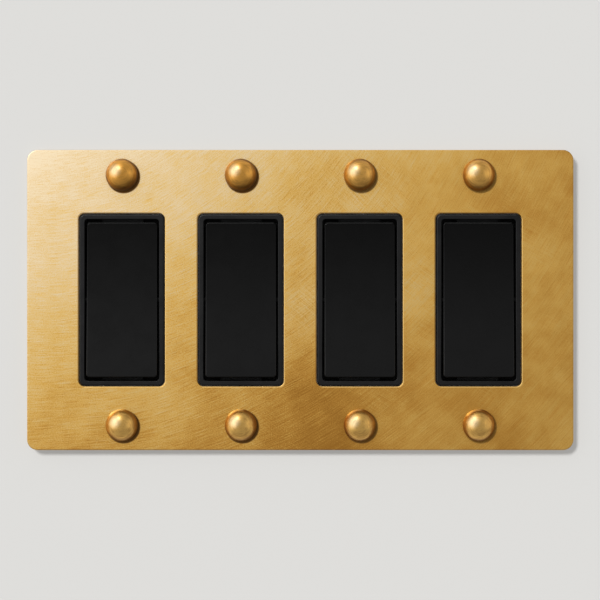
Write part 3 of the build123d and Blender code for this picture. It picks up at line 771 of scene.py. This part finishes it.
# Binding screws for the wires
side_screw = joined([slotted_head(SIDE_HEAD_R, SIDE_HEAD), thread(0.0, SIDE_SCREW_TIP)])
screw_set(
    "terminal_screws",
    side_screw,
    [
        seat(
            (x + side * TERMINAL_FACE, TERMINAL_Y, TERMINAL_Z),
            (side, 0, 0),
            TERMINAL_SCREW_START + TERMINAL_SCREW_TURN * number * side,
        )
        for number, x in enumerate(GANG_X)
        for side in (-1, 1)
    ],
)
screw_set(
    "ground_screws",
    side_screw,
    [
        seat((x + TAB_X, TAB_Y, -BOX_SCREW_Z), (-1, 0, 0), GROUND_SCREW_TURN * number)
        for number, x in enumerate(GANG_X)
    ],
)

# Toggle springs, copied from their solids, which are hidden
for number, x in enumerate(GANG_X, start=1):
    name = f"toggle_spring_{number}"
    coil = bpy.data.objects.new(name + "_coil", nodes[name].data.copy())
    scene.collection.objects.link(coil)
    low, high = [(x, SPRING_Y, z) for z in SPRING_FREE_Z]
    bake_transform(coil)
    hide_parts(name)

# Wall behind the plate, open for the box and seen only from the front
WALL_Y = 0.3 * MM
WALL_HALF = 3.0
WALL_BOX = (100.0 * MM, 52.5 * MM)
WALL_TONE = colour(0.20, 0.1985, 0.194)
WALL_GLOW = colour(0.288, 0.285, 0.276)
ROUND = [(-1, -1), (1, -1), (1, 1), (-1, 1)]


def wall_paint():
    """Pale paint that glows a little, clear from behind."""
    g = MaterialGraph("wall_paint")
    diffuse = g.add("ShaderNodeBsdfDiffuse", {"Color": WALL_TONE})
    glow = g.add("ShaderNodeEmission", {"Color": WALL_GLOW, "Strength": 1.0})
    paint = g.add("ShaderNodeAddShader")
    g.feed(paint.inputs[0], diffuse.outputs["BSDF"])
    g.feed(paint.inputs[1], glow.outputs["Emission"])
    clear = g.add("ShaderNodeBsdfTransparent")
    behind = g.add("ShaderNodeNewGeometry").outputs["Backfacing"]
    either = g.add("ShaderNodeMixShader", {"Fac": behind})
    g.feed(either.inputs[1], paint.outputs["Shader"])
    g.feed(either.inputs[2], clear.outputs["BSDF"])
    g.feed(g.output.inputs["Surface"], either.outputs["Shader"])
    return g.material


wall_corners = [(WALL_HALF * x, WALL_Y, WALL_HALF * z) for x, z in ROUND]
wall_corners += [(WALL_BOX[0] * x, WALL_Y, WALL_BOX[1] * z) for x, z in ROUND]
wall_faces = [(0, 1, 5, 4), (1, 2, 6, 5), (2, 3, 7, 6), (3, 0, 4, 7)]
wall = bpy.data.objects.new("wall", mesh_from("wall_mesh", wall_corners, wall_faces))
wall.data.materials.append(wall_paint())
scene.collection.objects.link(wall)

# Room light: even, with brighter panels given by direction, inner and outer angle, and extra light
ROOM_TONE = colour(1.0, 0.995, 0.985)
ROOM_LEVEL = 0.36
ROOM_PANELS = [
    ((-0.86, -0.50, 0.12), 10, 42, 0.80),
    ((-0.45, -0.50, 0.74), 8, 40, 0.65),
    ((0.89, -0.43, 0.14), 8, 36, 0.42),
    ((0.0, 1.0, 0.0), 20, 95, 0.55),
]
world = bpy.data.worlds.new("studio")
scene.world = world
world.use_nodes = True
room = Graph(world.node_tree)
way = room.add("ShaderNodeTexCoord").outputs["Generated"]
level = ROOM_LEVEL
for towards, inner, outer, extra in ROOM_PANELS:
    near = room.vector_math("DOT_PRODUCT", way, Vector(towards).normalized())
    cosines = (math.cos(math.radians(outer)), math.cos(math.radians(inner)))
    level = room.plus(room.spread(near, cosines, (0.0, extra)), level)
sky = room.add("ShaderNodeBackground", {"Color": ROOM_TONE, "Strength": level})
room.feed(room.add("ShaderNodeOutputWorld").inputs["Surface"], sky.outputs["Background"])

# Lamps, all aimed at the origin
SUN_PLACE = (-0.42, -1.0, 0.42)
SUN_ANGLE = math.radians(13)
STRIP_LEAN = math.radians(30)


def lamp(name, kind, place, power, **settings):
    data = bpy.data.lights.new(name, kind)
    data.energy = power
    for key, value in settings.items():
        setattr(data, key, value)
    light = bpy.data.objects.new(name, data)
    light.location = place
    light.rotation_mode = "QUATERNION"
    light.rotation_quaternion = (-Vector(place)).to_track_quat("-Z", "Y")
    scene.collection.objects.link(light)
    return light


key_lamp = lamp("key", "SUN", SUN_PLACE, power=1.5, angle=SUN_ANGLE)
wall_key = lamp("wall_key", "SUN", SUN_PLACE, power=4.6, angle=SUN_ANGLE)
spark = lamp("spark", "AREA", (-0.38, -0.60, 0.82), power=1.1, shape="DISK", size=0.20)
strip = lamp("strip", "AREA", (-0.80, -0.62, 0.22), power=0.4, shape="RECTANGLE", size=0.40, size_y=1.1)
strip.rotation_quaternion @= Quaternion((0, 0, 1), STRIP_LEAN)
edge = lamp("edge", "AREA", (-0.25, -0.40, 1.0), power=5.0, shape="RECTANGLE", size=1.2, size_y=0.25)

# Which pieces each lamp lights or leaves out
plastics = [node for name, node in nodes.items() if slot_of[name] in ("rocker_plastic", "bezel_plastic")]
for light, state, pieces in (
    (key_lamp, "EXCLUDE", [domes]),
    (wall_key, "INCLUDE", [wall]),
    (spark, "INCLUDE", [domes]),
    (strip, "INCLUDE", [domes]),
    (edge, "INCLUDE", plastics),
):
    lit = bpy.data.collections.new(light.name + "_lit")
    for piece in pieces:
        lit.objects.link(piece)
    for entry in lit.collection_objects:
        entry.light_linking.link_state = state
    light.light_linking.receiver_collection = lit

# Camera, straight on
CAMERA_DISTANCE = 1.0
CAMERA_X = -0.1 * MM
SENSOR_WIDTH = 36.0
FRAME_WIDTH = 232.25 * MM
camera_data = bpy.data.cameras.new("camera")
camera_data.sensor_width = SENSOR_WIDTH
camera_data.lens = SENSOR_WIDTH * CAMERA_DISTANCE / FRAME_WIDTH
camera = bpy.data.objects.new("camera", camera_data)
camera.location = (CAMERA_X, PLATE_FRONT - CAMERA_DISTANCE, 0.0)
camera.rotation_euler = (math.pi / 2, 0.0, 0.0)
scene.collection.objects.link(camera)
scene.camera = camera

scene.view_settings.view_transform = "Standard"
